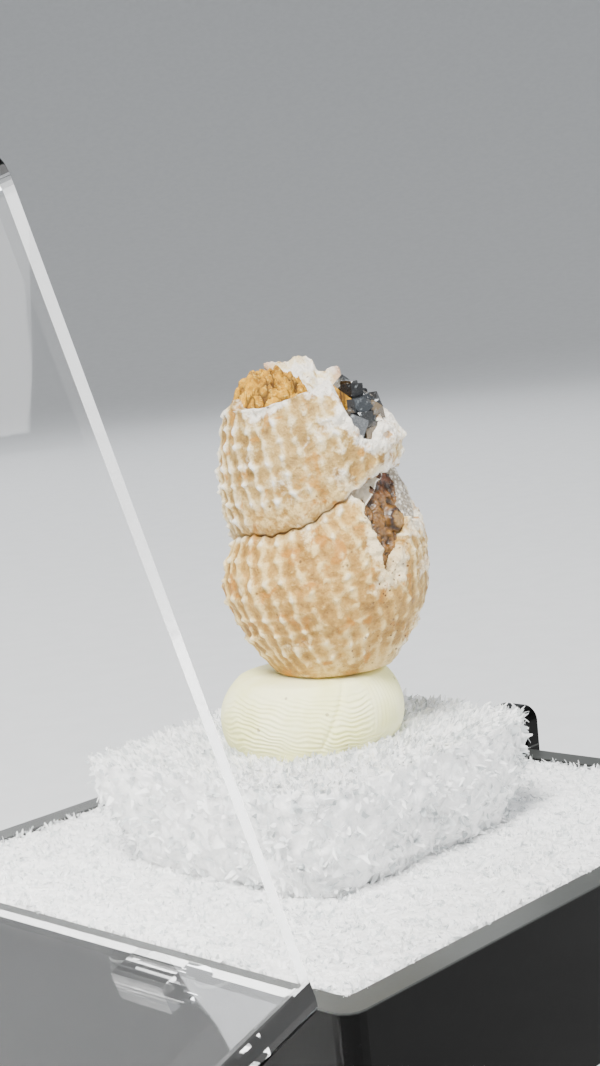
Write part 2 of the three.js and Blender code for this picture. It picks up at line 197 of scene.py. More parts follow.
def outline_distance(angle, height, outline):
    """Millimetres to an outline on the shell, positive inside it."""
    scale = math.radians(1) * WHORL_RADIUS
    x, y = angle * scale, height
    corners = np.array([(a * scale, h) for a, h in outline])
    nearest = np.full(x.shape, 1e9)
    inside = np.zeros(x.shape, bool)
    for start, end in zip(corners, np.roll(corners, -1, 0)):
        along = end - start
        across, up = x - start[0], y - start[1]
        share = np.clip((across * along[0] + up * along[1]) / (along @ along), 0, 1)
        distance = np.hypot(across - share * along[0], up - share * along[1])
        nearest = np.minimum(nearest, distance)
        crosses = (start[1] > y) != (end[1] > y)
        reach = start[0] + (y - start[1]) * along[0] / (along[1] or 1e-9)
        inside ^= crosses & (x < reach)
    return np.where(inside, nearest, -nearest)


# Meshes


def grid_faces(rows, columns, closed=False):
    """Four-sided faces of a grid of points stored row by row, wound anticlockwise from outside."""
    row, column = np.mgrid[0 : rows - 1, 0 : columns if closed else columns - 1]
    right = (column + 1) % columns
    here, above = row * columns, (row + 1) * columns
    quads = [here + column, here + right, above + right, above + column]
    return np.stack(quads, -1).reshape(-1, 4)


def make_piece(name, points, faces, material, **attributes):
    """A smooth mesh on the base, from points in millimetres. Points that no face uses are left out."""
    faces = np.asarray(faces)
    used, places = np.unique(faces, return_inverse=True)
    mesh = bpy.data.meshes.new(name)
    corners = (points.reshape(-1, 3)[used] * MM).tolist()
    mesh.from_pydata(corners, [], places.reshape(faces.shape).tolist())
    for key, values in attributes.items():
        layer = mesh.attributes.new(key, "FLOAT", "POINT")
        layer.data.foreach_set("value", values.reshape(-1)[used].astype(np.float32))
    mesh.polygons.foreach_set("use_smooth", [True] * len(mesh.polygons))
    mesh.materials.append(material)
    piece = bpy.data.objects.new(name, mesh)
    bpy.context.scene.collection.objects.link(piece)
    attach(piece, "base")
    return piece


def close(piece, floor=None):
    """Joins the mesh's seams, and caps it, with its open edge first dropped to any given floor."""
    bm = bmesh.new()
    bm.from_mesh(piece.data)
    bmesh.ops.remove_doubles(bm, verts=bm.verts, dist=0.001 * MM)
    rim = [edge for edge in bm.edges if edge.is_boundary]
    if floor is not None:
        made = bmesh.ops.extrude_edge_only(bm, edges=rim)["geom"]
        for vertex in (v for v in made if isinstance(v, bmesh.types.BMVert)):
            vertex.co.z = floor * MM
        rim = [edge for edge in bm.edges if edge.is_boundary]
    bmesh.ops.holes_fill(bm, edges=rim)
    bmesh.ops.recalc_face_normals(bm, faces=bm.faces)
    bm.to_mesh(piece.data)
    bm.free()


def thicken(piece, thickness):
    """Gives a sheet a back, a thickness in millimetres behind it."""
    modifier = piece.modifiers.new("thickness", "SOLIDIFY")
    modifier.thickness = thickness * MM


def stand_for(node):
    """Hides the CAD node whose place a detailed piece takes."""
    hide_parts(node)


# Materials


class Look:
    """A material in the making: a Principled shader and the nodes that feed it.

    Sizes and distances are in millimetres of the object.
    """

    def __init__(self, name, **values):
        self.material = bpy.data.materials.new(name)
        self.material.use_nodes = True
        self.tree = self.material.node_tree
        self.shader = self.tree.nodes["Principled BSDF"]
        for socket, value in values.items():
            self.shader.inputs[socket.replace("_", " ")].default_value = value
        place = self.tree.nodes.new("ShaderNodeTexCoord").outputs["Object"]
        self.place = self.node("VectorMath", {0: place, "Scale": 1 / MM}, operation="SCALE").outputs[0]

    def node(self, kind, inputs=None, **settings):
        made = self.tree.nodes.new("ShaderNode" + kind)
        for key, value in settings.items():
            setattr(made, key, value)
        for socket, value in (inputs or {}).items():
            self.feed(made.inputs[socket], value)
        return made

    def feed(self, socket, value):
        if isinstance(value, bpy.types.NodeSocket):
            self.tree.links.new(value, socket)
        else:
            socket.default_value = value

    def attribute(self, name):
        return self.node("Attribute", attribute_name=name).outputs["Fac"]

    def noise(self, size, detail=3, roughness=0.55, distortion=0.0):
        """Noise with features of a size in millimetres."""
        inputs = {"Vector": self.place, "Scale": 1 / size, "Detail": detail}
        inputs |= {"Roughness": roughness, "Distortion": distortion}
        return self.node("TexNoise", inputs).outputs["Fac"]

    def cells(self, size, feature="F1"):
        """Distances to scattered cell centres, with cells of a size in millimetres."""
        inputs = {"Vector": self.place, "Scale": 1 / size, "Randomness": 1}
        return self.node("TexVoronoi", inputs, feature=feature).outputs["Distance"]

    def calculate(self, operation, a, b=0.0):
        return self.node("Math", {0: a, 1: b}, operation=operation).outputs[0]

    def product(self, first, *others):
        for other in others:
            first = self.calculate("MULTIPLY", first, other)
        return first

    def inverse(self, value):
        return self.calculate("SUBTRACT", 1.0, value)

    def roughened(self, value, noise, strength):
        """value, moved up and down by a noise."""
        shift = self.product(self.calculate("SUBTRACT", noise, 0.5), strength)
        return self.calculate("ADD", value, shift)

    def spread(self, value, low, high):
        """value taken from the range 0 to 1 to the range low to high."""
        return self.node("MapRange", {"Value": value, "To Min": low, "To Max": high}).outputs[0]

    def between(self, value, low, high):
        """value taken from the range low to high to the range 0 to 1, smoothly."""
        inputs = {"Value": value, "From Min": low, "From Max": high}
        return self.node("MapRange", inputs, interpolation_type="SMOOTHSTEP").outputs["Result"]

    def mix(self, share, a, b, blend_type="MIX"):
        made = self.node("Mix", data_type="RGBA", blend_type=blend_type)
        for socket, value in zip((made.inputs[0], made.inputs[6], made.inputs[7]), (share, a, b)):
            self.feed(socket, value)
        return made.outputs[2]

    def colour(self, value):
        self.feed(self.shader.inputs["Base Color"], value)

    def roughness(self, value):
        self.feed(self.shader.inputs["Roughness"], value)

    def bump(self, height, distance):
        """Raises the surface by height times a distance in millimetres."""
        inputs = {"Height": height, "Distance": distance * MM, "Strength": 1}
        if self.shader.inputs["Normal"].is_linked:
            inputs["Normal"] = self.shader.inputs["Normal"].links[0].from_socket
        self.feed(self.shader.inputs["Normal"], self.node("Bump", inputs).outputs["Normal"])


def rgb(code):
    """A linear colour from a six-digit hex code."""
    parts = [int(code[i : i + 2], 16) / 255 for i in (0, 2, 4)]
    return (*(p / 12.92 if p <= 0.04045 else ((p + 0.055) / 1.055) ** 2.4 for p in parts), 1)


def shell_look():
    """Tan in the hollows, cream on the slopes, and white on the crests and the crusts, with painted
    shade in the deepest hollows, the pits and the crevices.
    """
    look = Look(
        "worn_shell", Subsurface_Weight=0.06, Subsurface_Scale=0.0002, Specular_IOR_Level=0.45
    )
    look.shader.inputs["Subsurface Radius"].default_value = (1, 0.75, 0.5)
    fine = look.noise(0.35, detail=5, roughness=0.65)
    broad = look.noise(1.6, detail=3)
    raised = look.roughened(look.attribute("relief"), fine, 0.9)
    tan = look.mix(look.between(broad, 0.35, 0.65), rgb("A98745"), rgb("C9A765"))
    # Painted shade: the tan darkens to a deep brown in the lowest places of the relief
    tan = look.mix(look.between(raised, -0.25, 0.14), rgb("7A5826"), tan)
    base = look.mix(look.between(raised, 0.06, 0.42), tan, rgb("EAD7AA"))
    base = look.mix(look.between(raised, 0.42, 0.85), base, rgb("FCF7EA"))
    white = look.roughened(look.attribute("crust"), fine, 1.1)
    base = look.mix(look.between(white, 0.4, 0.8), base, rgb("F7F1E4"))

    # Ochre stains, dirt and grey shade, mostly in the hollows
    stain = look.between(look.noise(1.05, detail=3, distortion=0.6), 0.56, 0.66)
    low = look.inverse(look.between(raised, 0.3, 0.7))
    base = look.mix(look.product(stain, low, 0.85), base, rgb("B9832A"))
    dark = look.between(look.noise(0.5, detail=4, distortion=0.8), 0.66, 0.76)
    base = look.mix(look.product(dark, low, 0.7), base, rgb("5E4222"))
    shadow = look.between(look.noise(0.8, detail=3, distortion=0.4), 0.62, 0.78)
    base = look.mix(look.product(shadow, 0.3), base, rgb("A89A9C"))

    # Pits, the suture, crevices and specks; the dark of the pits and of the crevices is painted shade
    pits = look.inverse(look.between(look.cells(0.32), 0.1, 0.2))
    pitted = look.product(pits, look.between(look.noise(1.5, detail=1), 0.5, 0.62))
    pitted = look.product(pitted, look.attribute("pitted"))
    # Painted shade: the pits are coloured dark
    base = look.mix(pitted, base, rgb("6B4A30"))
    base = look.mix(look.product(look.attribute("blush"), 0.7), base, rgb("B98F70"))
    base = look.mix(look.attribute("suture"), base, rgb("6B452A"))
    # Painted shade in the crevices, from a fine noise
    crevice_shade = look.inverse(look.between(look.noise(0.22, detail=4, roughness=0.7), 0.3, 0.44))
    base = look.mix(look.product(crevice_shade, 0.55), base, rgb("94713F"))
    speck = look.inverse(look.between(look.cells(0.75), 0.06, 0.11))
    speck = look.product(speck, look.between(look.noise(0.9, detail=1), 0.45, 0.55))
    base = look.mix(look.product(speck, 0.75), base, rgb("54391F"))

    # The lower whorl and the smooth band over the suture are warmer
    base = look.mix(look.attribute("warmth"), base, rgb("F7E9C6"), "MULTIPLY")
    look.colour(base)
    look.roughness(look.spread(fine, 0.42, 0.72))
    look.bump(fine, 0.17)
    look.bump(look.noise(0.12, detail=3), 0.05)
    look.bump(pitted, -0.05)
    return look.material


def ochre_look():
    look = Look("ochre_sediment", Specular_IOR_Level=0.35)
    broad = look.noise(0.9, detail=4, roughness=0.6)
    fine = look.noise(0.2, detail=4, roughness=0.65)
    base = look.mix(look.between(broad, 0.35, 0.65), rgb("8F5F10"), rgb("EAAC22"))
    base = look.mix(look.between(fine, 0.5, 0.75), base, rgb("F4CC66"))
    # Painted shade in the cracks between the lumps: dark brown where the relief is low
    dark = look.inverse(look.between(look.attribute("relief"), 0.02, 0.35))
    base = look.mix(look.product(dark, 0.85), base, rgb("3E2612"))
    grit = look.inverse(look.between(look.noise(0.18, detail=4, roughness=0.7), 0.3, 0.42))
    look.colour(look.mix(look.product(grit, 0.7), base, rgb("5C3A12")))
    look.roughness(look.spread(fine, 0.45, 0.85))
    look.bump(fine, 0.2)
    return look.material


def dark_crystal_look():
    look = Look("dark_crystal", Specular_IOR_Level=0.75, Coat_Weight=0.3, Coat_Roughness=0.08)
    tone = look.attribute("tone")
    fine = look.noise(0.25, detail=4)
    base = look.mix(tone, rgb("07090C"), rgb("3D4247"))
    smoky = look.between(look.attribute("smoky"), 0.55, 0.8)
    base = look.mix(smoky, base, rgb("5B4E3C"))
    base = look.mix(look.between(fine, 0.6, 0.72), base, rgb("7F8588"))
    look.colour(base)
    look.roughness(look.spread(fine, 0.12, 0.4))
    look.bump(look.noise(0.1, detail=2), 0.015)
    return look.material


def brown_crystal_look():
    """Amber below and red-brown above, with a paler nodule in a dark ring."""
    look = Look(
        "brown_crystal", Specular_IOR_Level=0.5, Coat_Weight=0.2, Coat_Roughness=0.15,
        Subsurface_Weight=0.08, Subsurface_Scale=0.0003,
    )
    relief = look.attribute("relief")
    redness = look.between(look.attribute("height"), 7.6, 9.0)
    fine = look.noise(0.16, detail=4, distortion=0.8)
    # Painted shade: the amber and the red-brown both darken where the relief, and so the surface, is
    # low
    amber = look.mix(look.between(relief, 0.1, 0.7), rgb("33200A"), rgb("6E4A18"))
    red = look.mix(look.between(relief, 0.1, 0.7), rgb("24100A"), rgb("5E3219"))
    base = look.mix(redness, amber, red)
    base = look.mix(look.between(fine, 0.58, 0.72), base, rgb("966C2E"))
    nodule = look.attribute("nodule")
    base = look.mix(look.between(nodule, 0.25, 0.5), base, rgb("8A6B3E"))
    past_ring = look.inverse(look.between(nodule, 0.22, 0.42))
    ring = look.product(look.between(nodule, 0.02, 0.2), past_ring)
    base = look.mix(ring, base, rgb("2A170D"))
    look.colour(base)
    look.roughness(look.spread(fine, 0.25, 0.55))
    look.bump(fine, 0.05)
    return look.material


def matrix_look():
    look = Look("grey_matrix", Specular_IOR_Level=0.5)
    grains = look.cells(0.16)
    fine = look.noise(0.3, detail=4)
    base = look.mix(look.between(fine, 0.35, 0.65), rgb("A79F90"), rgb("DDD9CF"))
    base = look.mix(look.between(grains, 0.35, 0.6), base, rgb("8D8374"))
    look.colour(base)
    look.roughness(look.spread(fine, 0.35, 0.7))
    look.bump(grains, -0.06)
    return look.material


def inner_wall_look():
    look = Look("inner_wall", Specular_IOR_Level=0.55)
    fine = look.noise(0.6, detail=3)
    base = look.mix(look.between(fine, 0.35, 0.65), rgb("857A68"), rgb("A0957F"))
    # Grey-brown deeper in, pale in a thin band along the edge; the grey-brown is partly the wall's own
    # tone and partly painted shade of the recess under the upper whorl
    inside = look.between(look.attribute("depth_in"), 0.04, 0.12)
    look.colour(look.mix(inside, rgb("EDE6DA"), base))
    look.roughness(look.spread(fine, 0.25, 0.4))
    return look.material


def putty_look():
    look = Look(
        "mineral_putty", Subsurface_Weight=0.25, Subsurface_Scale=0.0006, Specular_IOR_Level=0.4
    )
    look.shader.inputs["Subsurface Radius"].default_value = (1, 0.9, 0.55)
    broad = look.noise(2.5, detail=3)
    fine = look.noise(0.25, detail=4)
    base = look.mix(look.between(broad, 0.35, 0.65), rgb("EFEEAA"), rgb("FCFBC8"))
    specks = look.inverse(look.between(look.cells(1.6), 0.05, 0.075))
    base = look.mix(look.product(specks, 0.6), base, rgb("8A7A55"))
    look.colour(base)
    look.roughness(look.spread(fine, 0.5, 0.68))
    look.bump(fine, 0.02)
    return look.material


def foam_look(name, cell, depth):
    """White foam with cells of a size, and bumps of a depth."""
    look = Look(name, Subsurface_Weight=0.5, Subsurface_Scale=0.0012, Specular_IOR_Level=0.6)
    look.shader.inputs["Subsurface Radius"].default_value = (1, 1, 1)
    fine = look.noise(cell, detail=4, roughness=0.65)
    base = look.mix(look.between(fine, 0.3, 0.6), rgb("EBEEEF"), rgb("FFFFFF"))
    look.colour(base)
    look.roughness(look.spread(fine, 0.25, 0.6))
    look.bump(look.cells(cell, feature="SMOOTH_F1"), -2 * depth)
    look.bump(fine, depth)
    return look.material


def film_look():
    look = Look("torn_foam_film", Specular_IOR_Level=0.7, Transmission_Weight=0.25, IOR=1.2)
    fine = look.noise(0.3, detail=3)
    base = look.mix(look.between(fine, 0.3, 0.65), rgb("F2F5F6"), rgb("FFFFFF"))
    look.colour(look.mix(look.between(look.attribute("tone"), 0.45, 1.0), base, rgb("C3C9CB")))
    look.roughness(look.spread(fine, 0.18, 0.5))
    look.bump(fine, 0.03)
    return look.material


def black_plastic_look():
    look = Look("black_plastic", Specular_IOR_Level=0.08)
    dust = look.noise(0.5, detail=5, roughness=0.7)
    smear = look.noise(9, detail=3, distortion=0.5)

    # The rim's top face is rougher, and painted grey: a painted reflection of the lights on it
    up = look.node("SeparateXYZ", {0: look.place}).outputs["Z"]
    rim = look.between(up, RIM_HEIGHT - 0.12, RIM_HEIGHT - 0.03)
    rim = look.product(rim, look.calculate("LESS_THAN", up, RIM_HEIGHT + 0.02))
    base = look.mix(look.between(dust, 0.55, 0.75), rgb("030303"), rgb("0B0C0C"))
    look.colour(look.mix(rim, base, rgb("3C3E3D")))
    look.roughness(look.calculate("ADD", look.spread(smear, 0.06, 0.16), look.product(rim, 0.22)))
    look.bump(dust, 0.004)
    return look.material


def clear_plastic_look():
    look = Look("clear_plastic", Transmission_Weight=1.0, IOR=1.45, Base_Color=rgb("FFFFFF"))
    scuffs = look.noise(3, detail=6, roughness=0.7, distortion=1.5)
    look.roughness(look.spread(scuffs, 0.0, 0.03))
    look.bump(look.noise(12, detail=2), 0.02)
    return look.material


def floor_look():
    look = Look("pale_floor", Specular_IOR_Level=0.2)
    grain = look.noise(3, detail=4)
    look.colour(look.mix(look.between(grain, 0.3, 0.7), rgb("CDCFD1"), rgb("D1D3D5")))
    look.roughness(look.spread(grain, 0.75, 0.85))
    return look.material


# Shell


def on_shell(angle, distance, height):
    """Points in millimetres at angles, distances off the axis and heights over the shell's foot."""
    turn = np.radians(SHELL_FRONT + angle)
    x = shell_axis[0] + distance * np.cos(turn)
    y = shell_axis[1] + distance * np.sin(turn)
    return np.stack(np.broadcast_arrays(x, y, shell_foot + height), -1)


def suture_height(angle):
    """How high the suture runs: it climbs round the shell, and is wavy and laced."""
    sway = SUTURE_SWAY * np.cos(np.radians(3 * (angle + 20)))
    lace = 0.05 * np.cos(np.radians(RIBS * angle)) + 0.04 * np.sin(np.radians(13 * angle + 40))
    return SUTURE_RISE - sway + lace + WHORL_PITCH * angle / 360


def whorl_profile(down):
    """One whorl's outline, from its upper suture (0) to its lower one (1)."""
    swell = np.sin(np.pi * np.clip(down, 0, 1)) ** 0.6
    return 0.8 + 0.14 * down + 0.17 * swell


def shell_radius(angle, height):
    """How far the unworn outer face stands off the axis."""
    turn = angle / 360
    sutures = (suture_height(angle) - height) / WHORL_PITCH
    ending = smoothstep(95, 175, -angle)
    whorl = np.maximum(0, np.ceil(-sutures))
    down = sutures + whorl
    swollen = whorl_profile(np.minimum(down, 0.55))
    plain = np.where(whorl == 0, swollen, whorl_profile(down))
    held = np.where(whorl == 0, whorl_profile(0.55), swollen)
    outline = plain + (np.where(whorl < 2, held, plain) - plain) * ending
    age = -turn - whorl + np.where(whorl == 0, ending * 2 * turn, 0)
    coil = WHORL_RADIUS * np.exp(WHORL_GROWTH * (age + 1)) * outline
    climb = np.clip(1 - height / BASE_ROUNDING, 0, 1)
    foot = GIRTH + (FOOT_RADIUS - GIRTH) * climb**2.2
    away = 1 - np.cos(np.radians(angle - BREAK_ANGLE))
    shoulder = BREAK_RADIUS - BREAK_SLOPE * (height - BREAK_HEIGHT) + 2.2 * away
    return blend_minimum(blend_minimum(coil, foot, 0.25), shoulder, 0.25)


def top_height(angle):
    """The wall's top edge."""
    return np.interp(angle, TOP_ANGLES, TOP_HEIGHTS)


def shell_rows(angle, share):
    """Heights of the shell's rows of points, which follow the suture where it shows."""
    follow = smoothstep(0, 0.35, share) * (1 - smoothstep(0.78, 1, share))
    facing = 1 - smoothstep(95, 165, np.abs(angle))
    rise = (suture_height(angle) - SUTURE_RISE) * facing
    flat = share * SHELL_TALL + follow * rise
    return flat + smoothstep(0.75, 1, share) * (top_height(angle) - SHELL_TALL)


def sculpture(angle, height, points):
    """Relief from 0 to 1: ribs, cords and the knobs where they cross."""
    across = RIBS * angle / 360
    up = (height - suture_height(angle)) / CORD_SPACING
    rib_wander = 0.3 * soft_noise(points, 1.6, 11) + 0.2 * soft_noise(points, 0.6, 13)
    cord_wander = 0.34 * soft_noise(points, 1.8, 12) + 0.2 * soft_noise(points, 0.6, 14)
    ribs = 1 - np.abs(np.sin(np.pi * (across + RIB_SLANT * up + rib_wander)))
    cords = 1 - np.abs(np.sin(np.pi * (up + 0.35 + cord_wander)))
    uneven = 0.7 + 0.95 * soft_noise(points, 1.0, 15)
    knobs = smoothstep(0.15, 0.85, ribs * cords) * uneven
    return np.clip(0.42 * ribs**1.3 + 0.2 * cords**1.3 + 0.65 * knobs, 0, 1.2)


def shell_wall():
    """The sculptured wall, with its breaks, crust and suture."""
    columns, rows = 420, 190
    around = np.linspace(-180, 180, columns, endpoint=False)
    angle, share = np.meshgrid(around, np.linspace(0, 1, rows))
    height = shell_rows(angle, share)
    plain = on_shell(angle, shell_radius(angle, height), height)
    ragged = 0.14 * rough_noise(plain, 0.5, 3, 21)

    # Where the wall is missing: the points next to the edge slide onto it.
    def missing(a, h):
        side = outline_distance(a, h, SIDE_BREAK)
        return np.maximum(side, outline_distance(a, h, SHOULDER_BREAK)) + ragged

    gap = missing(angle, height)
    height = height + 0.5 * ragged * smoothstep(0.93, 1, share)
    slope_a = (missing(angle + SLOPE_STEP * DEGREES_PER_MM, height) - gap) / SLOPE_STEP
    slope_h = (missing(angle, height + SLOPE_STEP) - gap) / SLOPE_STEP
    steepness = np.maximum(slope_a**2 + slope_h**2, 0.3)
    near = np.abs(gap) < SLIDE_REACH
    angle = np.where(near, angle - DEGREES_PER_MM * gap * slope_a / steepness, angle)
    height = np.where(near, height - gap * slope_h / steepness, height)

    # Ribs and knobs, weaker in places and near the suture
    radius = shell_radius(angle, height)
    plain = on_shell(angle, radius, height)
    relief = sculpture(angle, height, plain)
    over_suture = height - suture_height(angle)
    left = smoothstep(10, -55, angle) * smoothstep(-175, -120, angle)
    behind = smoothstep(100, 150, np.abs(angle))
    patchy = smoothstep(-0.35, 0.35, rough_noise(plain, 2.2, 2, 31))
    smooth_band = smoothstep(0, 0.3, over_suture) * (1 - smoothstep(0.9, 1.5, over_suture))
    smooth_band *= smoothstep(-65, -40, angle) * (1 - smoothstep(35, 60, angle))
    strength = np.clip(0.4 + 0.6 * left + 0.4 * behind + 0.45 * patchy, 0, 1)
    strength *= (1 - 0.75 * smooth_band) * smoothstep(0, 1.5, height)
    strength *= 1 - 0.7 * smoothstep(0.25, 0, np.abs(over_suture))

    # White crust, thickest along the broken edges
    crusty = smoothstep(-40, 40, angle) * (1 - smoothstep(120, 160, angle))
    crusty = crusty * smoothstep(7, 11, height)
    low_right = smoothstep(50, 85, angle) * (1 - smoothstep(120, 150, angle))
    low_right = low_right * (1 - smoothstep(5, 8, height))
    edge_crust = 1 - smoothstep(0.1, 0.8, np.minimum(-gap, top_height(angle) - height))
    crust = 0.12 + 0.45 * crusty + 0.45 * low_right + 0.5 * edge_crust
    crust = np.clip(crust + 0.6 * soft_noise(plain, 1.3, 41), 0, 1)
    fine = rough_noise(plain, 0.6, 4, 51)
    flaky = smoothstep(-0.05, 0.25, rough_noise(plain, 0.7, 3, 52)) - 0.5
    radius = radius + RELIEF * strength * (relief - 0.4)
    radius = radius + fine * (0.05 + 0.09 * crust) + 0.09 * flaky * crust
    groove = np.exp(-((over_suture / 0.06) ** 2)) * (angle > -100) * (angle < 24)
    groove += np.exp(-((over_suture / 0.09) ** 2)) * (angle > 112)
    groove += np.exp(-(((over_suture - WHORL_PITCH) / 0.09) ** 2)) * (angle < -95)
    radius = radius - 0.12 * groove
    points = on_shell(angle, radius, height)

    faces = grid_faces(rows, columns, closed=True)
    cut = (gap > 0.0).reshape(-1)
    at_edge = (gap.reshape(-1)[faces] < SLIDE_REACH).all(1)
    kept = ~cut[faces].any(1) | (~cut[faces].all(1) & at_edge)
    pitted = smoothstep(-20, 20, angle) * (1 - smoothstep(70, 90, angle))
    pitted = pitted * (1 - smoothstep(5, 7, height))
    lower_whorl = smoothstep(0.1, -0.6, over_suture) * (1 - 0.65 * smoothstep(35, 75, angle))
    piece = make_piece(
        "shell_wall",
        points,
        faces[kept],
        shell_look(),
        relief=relief * strength + 0.3 * (1 - strength) * patchy + 0.25 * smooth_band * fine,
        blush=np.zeros(angle.shape),
        crust=crust,
        suture=groove * (0.65 + 0.5 * soft_noise(plain, 0.6, 53)),
        pitted=0.25 + 0.75 * pitted,
        warmth=np.maximum(lower_whorl, smooth_band),
    )
    line_edges(piece)
    stand_for("shell")
    return piece


def line_edges(piece):
    """Lines the broken edges of the wall, inwards past its own thickness, towards the infill."""
    bm = bmesh.new()
    bm.from_mesh(piece.data)
    axis = Vector((*shell_axis, 0)) * MM
    edge_points = [vertex for vertex in bm.verts if vertex.is_boundary]
    bmesh.ops.smooth_vert(
        bm, verts=edge_points, factor=0.4, use_axis_x=True, use_axis_y=True, use_axis_z=True
    )
    for _ in range(EDGE_ROWS):
        rim = [edge for edge in bm.edges if edge.is_boundary]
        made = bmesh.ops.extrude_edge_only(bm, edges=rim)["geom"]
        for vertex in (v for v in made if isinstance(v, bmesh.types.BMVert)):
            inwards = axis - vertex.co
            inwards.z = 0
            vertex.co += inwards.normalized() * WALL * MM
    bmesh.ops.recalc_face_normals(bm, faces=bm.faces)
    bm.to_mesh(piece.data)
    bm.free()


def flakes():
    """Scraps of wall that stand up behind the sediment and lean over it."""
    columns, rows = 90, 34
    share, lift = np.meshgrid(np.linspace(0, 1, columns), np.linspace(0, 1, rows))
    sideways = -1.95 + 3.7 * share
    upper = np.interp(share, FLAKE_PLACES, FLAKE_TOPS)
    lower = np.interp(share, (0, 0.25, 0.4, 0.55, 0.7, 1), (14.35, 13.85, 13.5, 13.0, 12.5, 12.4))
    forward = np.interp(share, (0, 0.3, 0.6, 1), (0.2, 0.7, 1.1, 0.9))
    depth = -2.7 + 1.6 * forward * (1 - lift) ** 1.2 + 0.25 * np.sin(7 * share)
    height = lower + (upper - lower) * lift
    spot = np.stack([sideways, depth, height], -1)
    height = height + 0.12 * rough_noise(spot, 0.4, 3, 61)
    depth = depth + 0.12 * rough_noise(spot, 0.8, 3, 62)
    angle = np.degrees(np.arctan2(sideways, depth))
    points = on_shell(angle, np.hypot(sideways, depth), height)
    blank = np.zeros(angle.shape)
    piece = make_piece(
        "shell_flakes", points, grid_faces(rows, columns), bpy.data.materials["worn_shell"],
        relief=0.55 + 0.5 * soft_noise(spot, 0.5, 63), crust=0.55 + 0.5 * soft_noise(spot, 0.9, 64),
        blush=np.maximum(smoothstep(0.2, 0.05, share), smoothstep(0.82, 0.95, share)),
        suture=blank, pitted=blank, warmth=blank,
    )
    thicken(piece, FLAKE_THICKNESS)
    return piece


# Infill


def top_fill():
    """Ochre sediment heaped in the broken spire, on the left, and lower ground on the right."""
    columns, rows = 300, 110
    around = np.linspace(-180, 180, columns, endpoint=False)
    angle, share = np.meshgrid(around, np.linspace(0, 1, rows))
    ground = 12.1
    brink = top_height(angle) - 0.3
    reach = shell_radius(angle, brink) - 0.8 * WALL
    distance = reach * share
    sideways = distance * np.sin(np.radians(angle))
    depth = distance * np.cos(np.radians(angle))
    heap = np.hypot((sideways + 1.8) / 2.1, (depth + 0.2) / 2.4)
    height = ground + (brink - ground) * share**2 + 2.05 * np.clip(1 - heap**3, 0, 1)
    spot = np.stack([sideways, depth, height], -1)
    lumps, next_lump = cell_distances(spot + 0.25 * soft_noise(spot, 0.6, 71)[..., None], 0.85, 72)
    crack = np.clip((next_lump - lumps) / 0.25, 0, 1)
    fade = 1 - smoothstep(0.9, 1, share)
    rocky = rough_noise(spot, 0.6, 5, 73)
    height = height + fade * (0.32 * rocky + 0.2 * (crack - 1) + 0.15 * (0.6 - lumps))
    points = on_shell(angle, distance, height)
    piece = make_piece(
        "ochre_sediment", points, grid_faces(rows, columns, closed=True), ochre_look(),
        relief=np.clip(crack * (0.6 + 0.8 * rocky), 0, 1),
    )
    close(piece, shell_foot + 11.5)
    stand_for("ochre_plug")
    return piece


def side_fill():
    """The faces seen through the broken side: brown crystals, grey matrix and the inner wall."""
    columns, rows = 250, 170
    angle, height = np.meshgrid(np.linspace(8, 124, columns), np.linspace(4.2, 10.6, rows))
    plain = on_shell(angle, shell_radius(angle, height), height)
    warp = np.stack([soft_noise(plain, 0.35, 81 + k) for k in (0, 5, 9)], -1)
    lumps, next_lump = cell_distances(plain + 0.22 * warp, 0.62, 82)
    crack = np.clip((next_lump - lumps) / 0.35, 0, 1)
    from_nodule = np.hypot((angle - 53) * math.radians(4.4), height - 7.0)
    nodule = np.clip(1 - from_nodule / 0.62, 0, 1)
    border = np.interp(height, (7.2, 7.6, 8.1, 9.0), (59, 58, 63, 68)) + 3 * soft_noise(plain, 0.8, 83)
    grainy = smoothstep(-2, 2, angle - border) * smoothstep(6.0, 6.5, height)
    smooth_wall = outline_distance(angle, height, SMOOTH_INSIDE)
    relief = 0.3 + 0.3 * crack * (1 - 0.6 * lumps) + 0.5 * rough_noise(plain, 0.45, 4, 84)
    relief = np.clip(relief, 0, 1)
    bumps = 0.3 * relief + 0.4 * np.sqrt(nodule * (2 - nodule))
    bumps = bumps + (0.3 + 0.1 * rough_noise(plain, 0.25, 3, 85) - bumps) * grainy
    bumps = np.where(smooth_wall > 0, 0.3, bumps)
    recess = 0.75 + 0.25 * smoothstep(55, 25, angle) - 0.12 * smoothstep(60, 75, angle)
    radius = shell_radius(angle, height) - recess + bumps

    # The infill stands at least this far out, so that it isn't lost behind the wall at the suture
    radius = np.maximum(radius, 3.55 + 0.1 * relief - 0.55 * smoothstep(8.4, 10.4, height))
    points = on_shell(angle, radius, height)
    faces = grid_faces(rows, columns)
    wall_face = (smooth_wall.reshape(-1)[faces] > 0).all(1)
    grey_face = (grainy.reshape(-1)[faces] > 0.5).all(1) & ~wall_face
    brown = make_piece(
        "brown_crystals_detail", points, faces[~wall_face & ~grey_face], brown_crystal_look(),
        relief=relief, height=height, nodule=nodule,
    )
    thicken(brown, FILL_THICKNESS)
    stand_for("brown_crystals")
    grey = make_piece("grey_matrix", points, faces[grey_face], matrix_look())
    thicken(grey, FILL_THICKNESS)
    stand_for("matrix_fill")
    inner = make_piece("inner_wall", points, faces[wall_face], inner_wall_look(), depth_in=smooth_wall)
    thicken(inner, FILL_THICKNESS)


CRYSTALS = 70


def crystal_block(rng, size):
    """A blocky faceted crystal: the hull of a box with its corners cut back unevenly."""
    corners = []
    for corner in np.ndindex(2, 2, 2):
        sign = 2 * np.array(corner) - 1
        for axis in range(3):
            scale = np.ones(3)
            scale[axis] -= rng.uniform(0.02, 0.35)
            corners.append(sign * scale * size)
    return np.array(corners)


